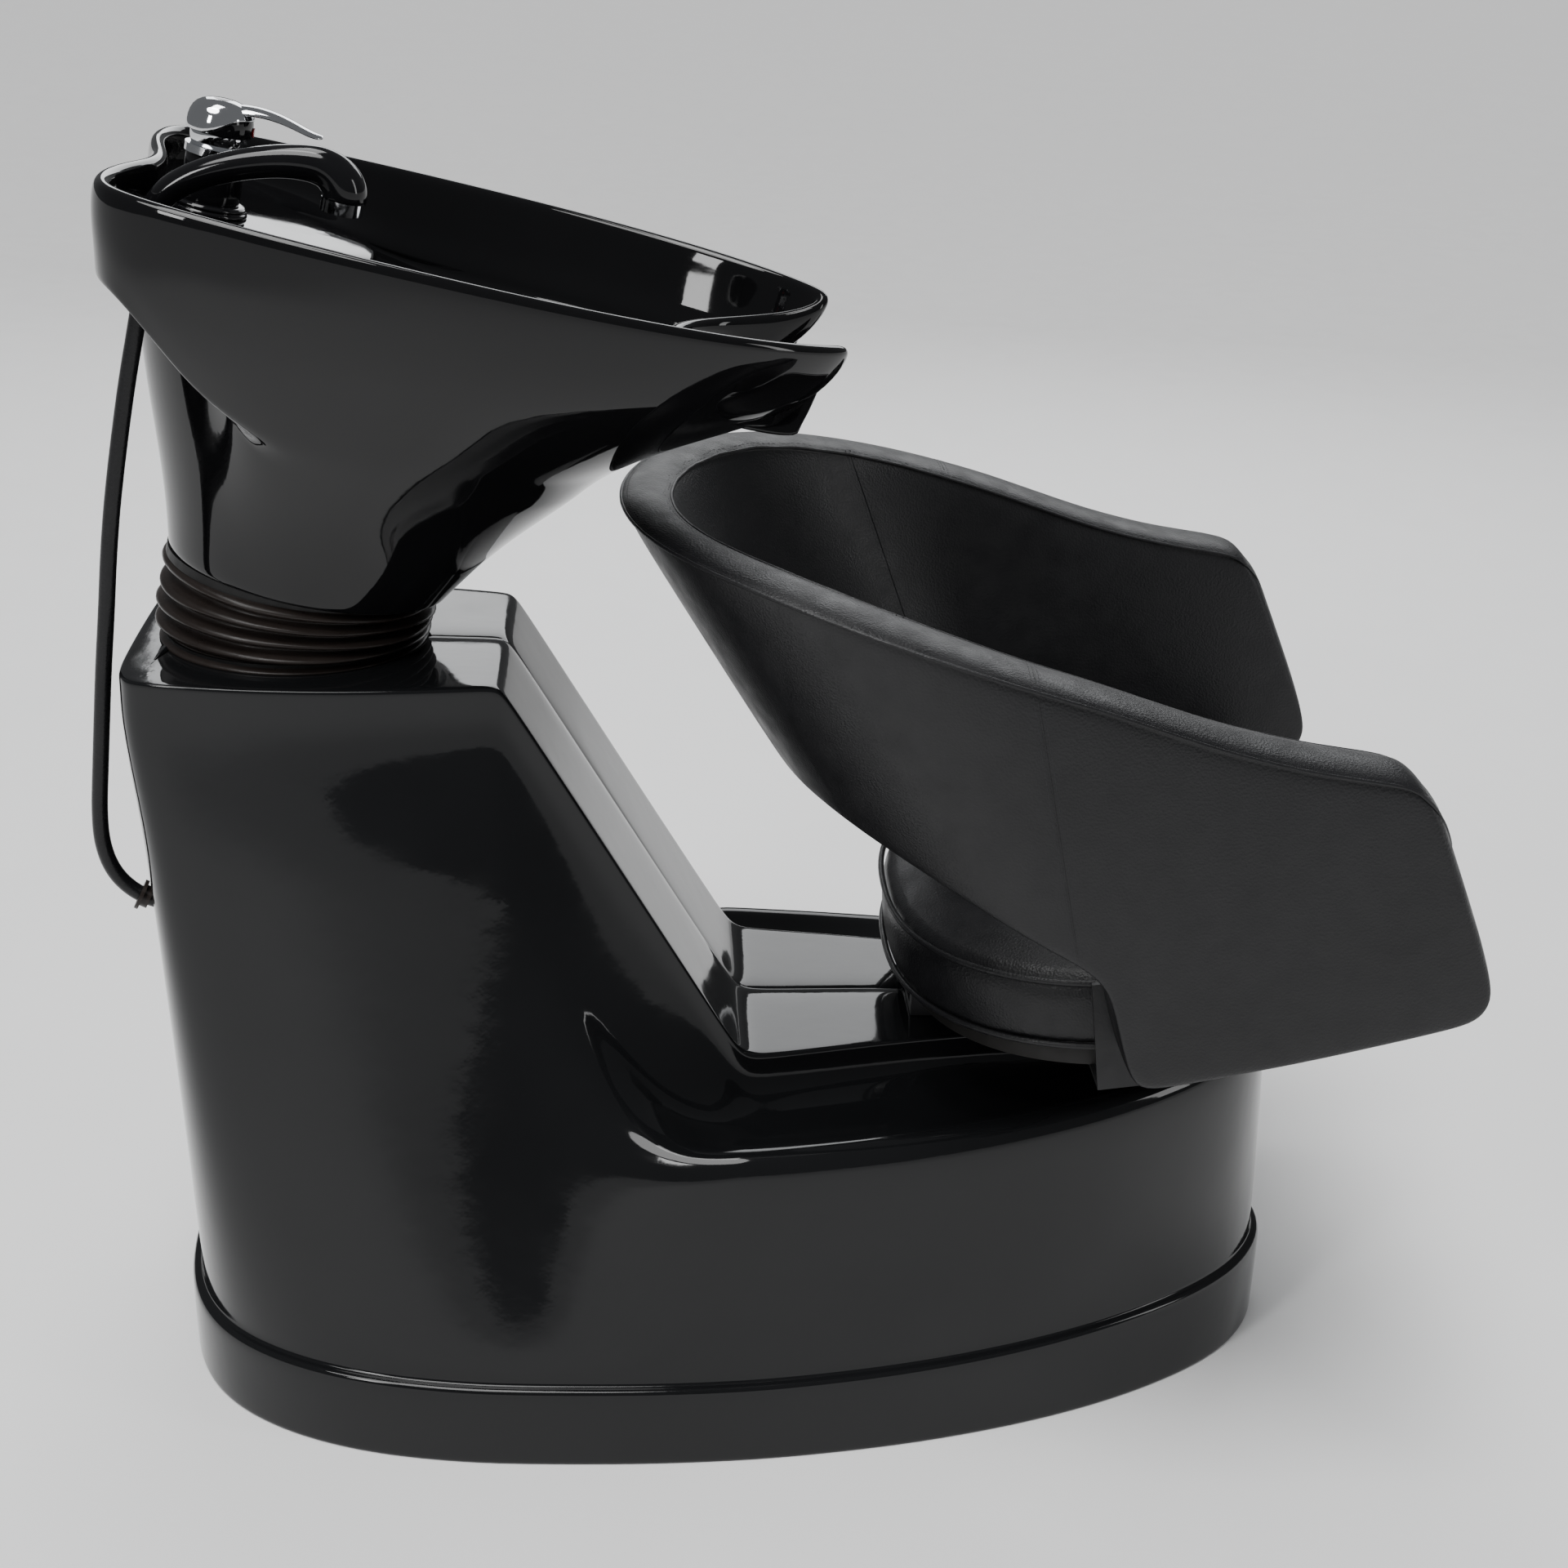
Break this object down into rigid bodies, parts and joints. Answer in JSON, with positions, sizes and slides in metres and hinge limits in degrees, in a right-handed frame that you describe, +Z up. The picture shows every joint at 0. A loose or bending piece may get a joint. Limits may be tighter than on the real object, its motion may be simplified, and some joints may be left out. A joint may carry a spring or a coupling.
{
  "type": "shampoo backwash unit",
  "caption": "Salon shampoo backwash unit: tilting ceramic basin with mixer and pull-out hand shower on a moulded base, with an upholstered barrel-shaped seat.",
  "frame": {"origin": "on the floor at the centre of the base's foot", "axes": "+X from the basin towards the customer's feet, +Y to the seated customer's left, +Z up"},
  "size_m": [1.0715, 0.6346, 1.0359],
  "materials": {
    "shell": "high gloss gelcoat over glass fibre",
    "steel": "black powder coat",
    "zinc": "zinc plated",
    "rubber": "satin moulded rubber",
    "ring": "satin",
    "ceramic": "high gloss black glaze",
    "chrome": "polished",
    "tap_black": "gloss black",
    "dot": "gloss red",
    "handset": "gloss black",
    "nozzle": "soft nozzles",
    "hose": "satin black sheath",
    "supply": "braided",
    "brass": "plain",
    "leatherette": "satin black leatherette",
    "foam": "upholstery foam under cover",
    "plywood": "black-stained plywood"
  },
  "bodies": {
    "base": {"base_shell_left": "shell", "base_shell_right": "shell", "steel_frame": "steel", "lower_tilt_bracket": "steel", "pivot_bolts": "zinc", "pivot_nuts": "zinc", "bellows_lower_ring": "ring", "bellows": "rubber", "waste_hose": "supply", "supply_hose_hot": "supply", "supply_hose_cold": "supply", "shower_hose": "hose", "hose_grommet": "rubber", "chair_outer_cover": "leatherette", "chair_core": "plywood", "chair_inner_pad": "leatherette", "chair_edge_trim": "leatherette", "arm_brackets": "steel", "arm_bolts": "zinc", "seat_cushion": "leatherette", "seat_board": "plywood", "seat_spacer": "steel", "seat_bolts": "zinc"},
    "bowl_unit": {"bowl": "ceramic", "upper_tilt_bracket": "steel", "saddle_bolts": "zinc", "bellows_upper_ring": "ring", "drain_waste": "chrome", "drain_nut": "ring", "mixer_flange": "tap_black", "mixer_body": "tap_black", "mixer_nut": "brass", "mixer_collar": "chrome", "mixer_cartridge": "ring", "mixer_ball_cover": "chrome", "handset_holder": "tap_black", "holder_nut": "brass"},
    "lever_spindle": {"mixer_spindle": "zinc"},
    "lever": {"mixer_handle": "chrome", "mixer_indicator": "dot"},
    "hand_shower": {"handset_body": "handset", "spray_collar": "chrome", "spray_face": "nozzle", "hose_stub": "hose"},
    "strainer": {"drain_strainer": "chrome"}
  },
  "joints": [
    {"name": "bowl_tilt", "type": "hinge", "parent": "base", "child": "bowl_unit", "pos_m": [-0.3685, 0, 0.66], "axis": [0, -1, 0], "range_deg": [0, 12], "deforming": ["bellows", "waste_hose", "supply_hose_hot", "supply_hose_cold", "shower_hose"]},
    {"name": "lever_swivel", "type": "hinge", "parent": "bowl_unit", "child": "lever_spindle", "pos_m": [-0.42578, 0, 1.01046], "axis": [0.1994, 0, 0.9799], "range_deg": [-45, 45]},
    {"name": "lever_lift", "type": "hinge", "parent": "lever_spindle", "child": "lever", "pos_m": [-0.42578, 0, 1.01046], "axis": [0, -1, 0], "range_deg": [0, 20]},
    {"name": "handset_lift", "type": "slide", "parent": "bowl_unit", "child": "hand_shower", "axis": [0.1994, 0, 0.9799], "range_m": [0, 0.08]},
    {"name": "strainer_lift", "type": "slide", "parent": "bowl_unit", "child": "strainer", "axis": [0.1994, 0, 0.9799], "range_m": [0, 0.04]}
  ]
}
